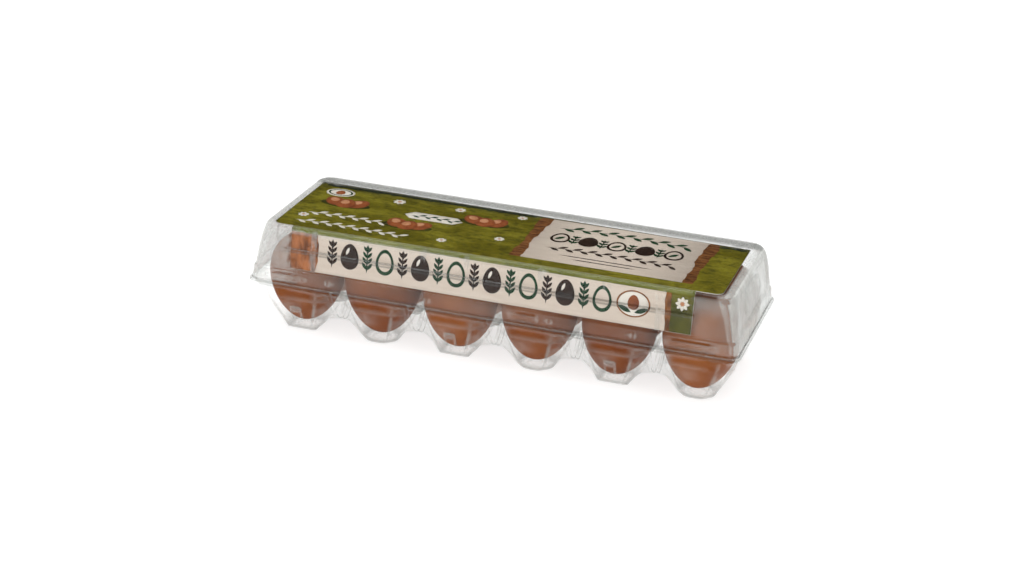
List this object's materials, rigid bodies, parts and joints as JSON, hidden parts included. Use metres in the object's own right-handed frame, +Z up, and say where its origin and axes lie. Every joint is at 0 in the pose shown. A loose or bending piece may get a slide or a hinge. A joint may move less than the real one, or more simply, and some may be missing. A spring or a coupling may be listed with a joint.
{
  "type": "egg carton with eggs",
  "caption": "Clear moulded egg carton with a hinged lid, two rows of brown eggs standing in its cups, and a printed card sleeve under the lid.",
  "frame": {"origin": "middle of the carton's footprint, on the plane its feet stand on", "axes": "+X along the two rows of eggs, +Y towards the hinged back edge, +Z up"},
  "size_m": [0.295, 0.104, 0.0695],
  "materials": {
    "clear_sheet": "gloss",
    "printed_card": "satin",
    "egg_mid": "satin",
    "egg_dark": "satin",
    "egg_light": "satin"
  },
  "bodies": {
    "tray": {"tray": "clear_sheet", "egg_1": "egg_mid", "egg_2": "egg_dark", "egg_3": "egg_light", "egg_4": "egg_mid", "egg_5": "egg_dark", "egg_6": "egg_light", "egg_7": "egg_mid", "egg_8": "egg_dark", "egg_9": "egg_light", "egg_10": "egg_mid", "egg_11": "egg_dark", "egg_12": "egg_light"},
    "lid": {"lid": "clear_sheet", "label": "printed_card"}
  },
  "joints": [
    {"name": "lid_hinge", "type": "hinge", "parent": "tray", "child": "lid", "pos_m": [0, 0.052, 0.03475], "axis": [-1, 0, 0], "range_deg": [0, 180]}
  ]
}
